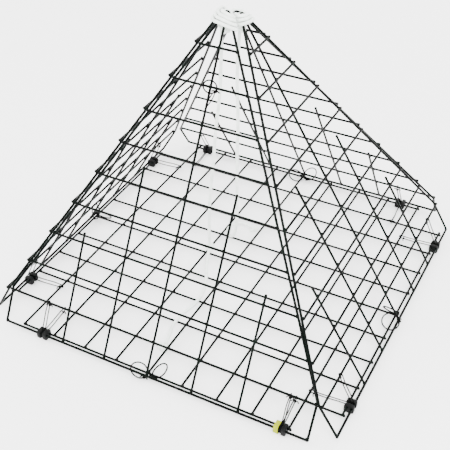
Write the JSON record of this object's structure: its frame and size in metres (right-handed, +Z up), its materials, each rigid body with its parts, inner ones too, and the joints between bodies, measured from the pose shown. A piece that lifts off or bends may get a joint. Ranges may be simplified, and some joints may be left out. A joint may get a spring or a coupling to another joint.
{
  "type": "folding crab trap",
  "caption": "pyramid trap of coated wire mesh whose triangular sides hinge down flat on a square base, lashed at the tips with white cord",
  "frame": {"origin": "middle of the footprint, on the ground under the hinge clips", "axes": "+Z up through the tips, -Y is the front side, +X the right side; the tips meet 9 mm forward of the middle, as the closed panels have slid and leaned that way"},
  "size_m": [0.5329, 0.5362, 0.4256],
  "materials": {
    "coated_wire": "black vinyl coating, slightly rippled, satin gloss",
    "clip_plastic": "moulded black plastic, fine grain",
    "yellow_band": "soft yellow band, matt",
    "thin_cord": "thin black elastic cord",
    "white_cord": "white braided cord with a faint green cast"
  },
  "bodies": {
    "base": {"base_edge_wires": "coated_wire", "base_low_wires": "coated_wire", "base_high_wires": "coated_wire", "hinge_clip_front_a": "clip_plastic", "hinge_clip_front_b": "clip_plastic", "edge_rings_front": "thin_cord", "base_stays_front": "coated_wire", "hinge_clip_right_a": "clip_plastic", "hinge_clip_right_b": "clip_plastic", "edge_rings_right": "thin_cord", "base_stays_right": "coated_wire", "hinge_clip_back_a": "clip_plastic", "hinge_clip_back_b": "clip_plastic", "edge_rings_back": "thin_cord", "base_stays_back": "coated_wire", "hinge_clip_left_a": "clip_plastic", "hinge_clip_left_b": "clip_plastic", "edge_rings_left": "thin_cord", "base_stays_left": "coated_wire", "yellow_band": "yellow_band", "base_cord": "white_cord", "cord_tie": "white_cord", "base_cord_knot": "white_cord"},
    "front_panel": {"front_frame": "coated_wire", "front_cross_wires": "coated_wire", "front_uprights": "coated_wire", "front_lashing": "white_cord", "front_stays": "thin_cord", "front_high_ring": "thin_cord"},
    "right_panel": {"right_frame": "coated_wire", "right_cross_wires": "coated_wire", "right_uprights": "coated_wire", "right_lashing": "white_cord", "right_stays": "thin_cord"},
    "back_panel": {"back_frame": "coated_wire", "back_cross_wires": "coated_wire", "back_uprights": "coated_wire", "back_lashing": "white_cord", "back_stays": "thin_cord", "back_cord": "white_cord", "back_cord_knot": "white_cord"},
    "left_panel": {"left_frame": "coated_wire", "left_cross_wires": "coated_wire", "left_uprights": "coated_wire", "left_lashing": "white_cord", "left_stays": "thin_cord", "left_cord": "white_cord"}
  },
  "joints": [
    {"name": "front_panel_hinge", "type": "hinge", "parent": "base", "child": "front_panel", "pos_m": [0, -0.2606, 0.00815], "axis": [1, 0, 0], "range_deg": [0, 119.5]},
    {"name": "right_panel_hinge", "type": "hinge", "parent": "base", "child": "right_panel", "pos_m": [0.2606, 0, 0.00815], "axis": [0, 1, 0], "range_deg": [0, 121]},
    {"name": "back_panel_hinge", "type": "hinge", "parent": "base", "child": "back_panel", "pos_m": [0, 0.2606, 0.00815], "axis": [-1, 0, 0], "range_deg": [0, 122]},
    {"name": "left_panel_hinge", "type": "hinge", "parent": "base", "child": "left_panel", "pos_m": [-0.2606, 0, 0.00815], "axis": [0, -1, 0], "range_deg": [0, 121]}
  ]
}
